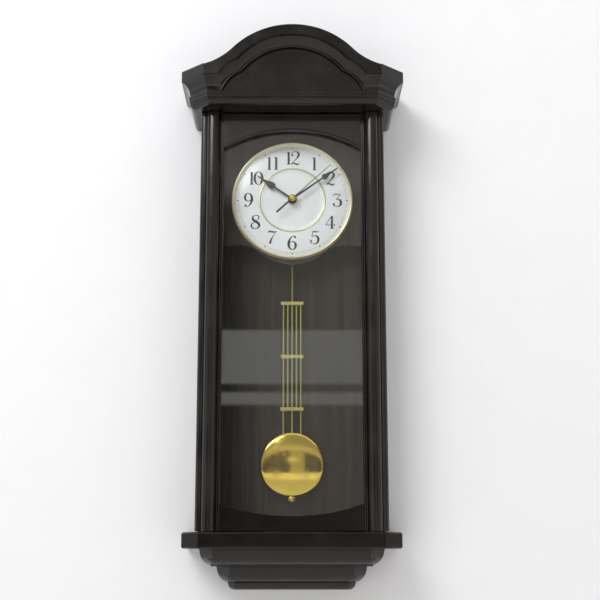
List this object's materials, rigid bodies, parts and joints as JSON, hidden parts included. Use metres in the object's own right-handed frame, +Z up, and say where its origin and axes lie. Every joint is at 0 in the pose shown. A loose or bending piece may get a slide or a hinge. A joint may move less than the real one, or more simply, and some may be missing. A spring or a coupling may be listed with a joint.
{
  "type": "pendulum wall clock",
  "caption": "Wall clock with an arched pediment, a glazed door between reeded columns, a round numbered dial, a brass pendulum and a stepped base.",
  "frame": {"origin": "centre of the round part of the keyhole in the hanger plate, on the wall plane", "axes": "+Z up, -Y out from the wall towards the viewer, +X to the viewer's right"},
  "size_m": [0.276, 0.112, 0.6806],
  "materials": {
    "dark_wood": "satin, nearly black brown lacquer",
    "board_wood": "satin brown lacquer",
    "brass": "polished",
    "steel": "zinc plated",
    "black_plastic": "matte",
    "dial_white": "satin white enamel",
    "hand_black": "satin black",
    "light_plastic": "satin",
    "copper_wire": "enamelled copper wire",
    "glass": "clear",
    "battery": "printed sleeve, plain",
    "circuit": "solder mask"
  },
  "bodies": {
    "case": {"back_panel": "dark_wood", "side_panel_left": "dark_wood", "side_panel_right": "dark_wood", "hanging_rail": "dark_wood", "board_cleats": "dark_wood", "crown_soffit": "dark_wood", "cornice_front": "dark_wood", "cornice_corners": "dark_wood", "cornice_sides": "dark_wood", "pediment_face": "dark_wood", "pediment_moulding": "dark_wood", "pediment_panel": "dark_wood", "crown_lid": "dark_wood", "base_slab": "dark_wood", "base_tier_upper": "dark_wood", "base_tier_lower": "dark_wood", "base_foot": "dark_wood", "dial_board": "board_wood", "hanger_plate": "steel", "hanger_screws": "steel", "board_screws": "brass", "catch_magnet": "black_plastic", "movement_front": "black_plastic", "movement_back": "black_plastic", "middle_plate": "light_plastic", "battery": "battery", "battery_contacts": "steel", "circuit_board": "circuit", "motor_coil": "copper_wire", "motor_stator": "steel", "fixing_nut": "brass", "dial_plate": "dial_white", "dial_bezel": "brass", "dial_ring": "brass", "pendulum_coil": "copper_wire"},
    "door": {"door_stile_left": "dark_wood", "door_stile_right": "dark_wood", "door_top_rail": "dark_wood", "door_bottom_rail": "dark_wood", "door_glass": "glass", "glazing_beads": "dark_wood", "door_pins": "steel", "catch_plate": "steel"},
    "seconds": {"second_wheel": "light_plastic", "second_hand": "hand_black"},
    "rotor": {"rotor": "steel"},
    "intermediate": {"intermediate_wheel": "light_plastic"},
    "third": {"third_wheel": "light_plastic"},
    "centre": {"centre_wheel": "light_plastic"},
    "minutes": {"minute_pipe": "light_plastic", "minute_hand": "hand_black"},
    "motion": {"motion_wheel": "light_plastic"},
    "hours": {"hour_wheel": "light_plastic", "hour_hand": "hand_black"},
    "setting": {"setting_knob": "black_plastic"},
    "pendulum": {"pendulum_arm": "light_plastic", "pendulum_rods": "brass", "pendulum_bars": "brass", "pendulum_bob": "brass", "rating_nut": "brass"}
  },
  "joints": [
    {"name": "door_hinge", "type": "hinge", "parent": "case", "child": "door", "pos_m": [0.109, -0.0575, -0.236], "axis": [0, 0, 1], "range_deg": [0, 110]},
    {"name": "pendulum_swing", "type": "hinge", "parent": "case", "child": "pendulum", "pos_m": [0, -0.022, -0.121], "axis": [0, 1, 0], "range_deg": [-6, 6]},
    {"name": "second_hand_turn", "type": "hinge", "parent": "case", "child": "seconds", "pos_m": [0, 0, -0.084], "axis": [0, 1, 0], "continuous": true},
    {"name": "rotor_turn", "type": "hinge", "parent": "case", "child": "rotor", "pos_m": [0.01351, 0, -0.0918], "axis": [0, 1, 0], "continuous": true},
    {"name": "intermediate_turn", "type": "hinge", "parent": "case", "child": "intermediate", "pos_m": [0.00727, 0, -0.0882], "axis": [0, 1, 0], "continuous": true},
    {"name": "third_turn", "type": "hinge", "parent": "case", "child": "third", "pos_m": [0, 0, -0.0738], "axis": [0, 1, 0], "continuous": true},
    {"name": "centre_turn", "type": "hinge", "parent": "case", "child": "centre", "pos_m": [0, 0, -0.084], "axis": [0, 1, 0], "continuous": true},
    {"name": "minute_hand_turn", "type": "hinge", "parent": "case", "child": "minutes", "pos_m": [0, 0, -0.084], "axis": [0, 1, 0], "continuous": true},
    {"name": "motion_turn", "type": "hinge", "parent": "case", "child": "motion", "pos_m": [-0.00831, 0, -0.0888], "axis": [0, 1, 0], "continuous": true},
    {"name": "hour_hand_turn", "type": "hinge", "parent": "case", "child": "hours", "pos_m": [0, 0, -0.084], "axis": [0, 1, 0], "continuous": true},
    {"name": "setting_knob_turn", "type": "hinge", "parent": "case", "child": "setting", "pos_m": [-0.01663, 0, -0.0936], "axis": [0, 1, 0], "continuous": true}
  ],
  "couplings": [
    {"joint": "rotor_turn", "follows": "second_hand_turn", "ratio": 30},
    {"joint": "intermediate_turn", "follows": "second_hand_turn", "ratio": -6},
    {"joint": "third_turn", "follows": "second_hand_turn", "ratio": -0.13333},
    {"joint": "centre_turn", "follows": "second_hand_turn", "ratio": 0.016667},
    {"joint": "motion_turn", "follows": "minute_hand_turn", "ratio": -0.33333},
    {"joint": "hour_hand_turn", "follows": "minute_hand_turn", "ratio": 0.083333},
    {"joint": "setting_knob_turn", "follows": "minute_hand_turn", "ratio": 1}
  ]
}
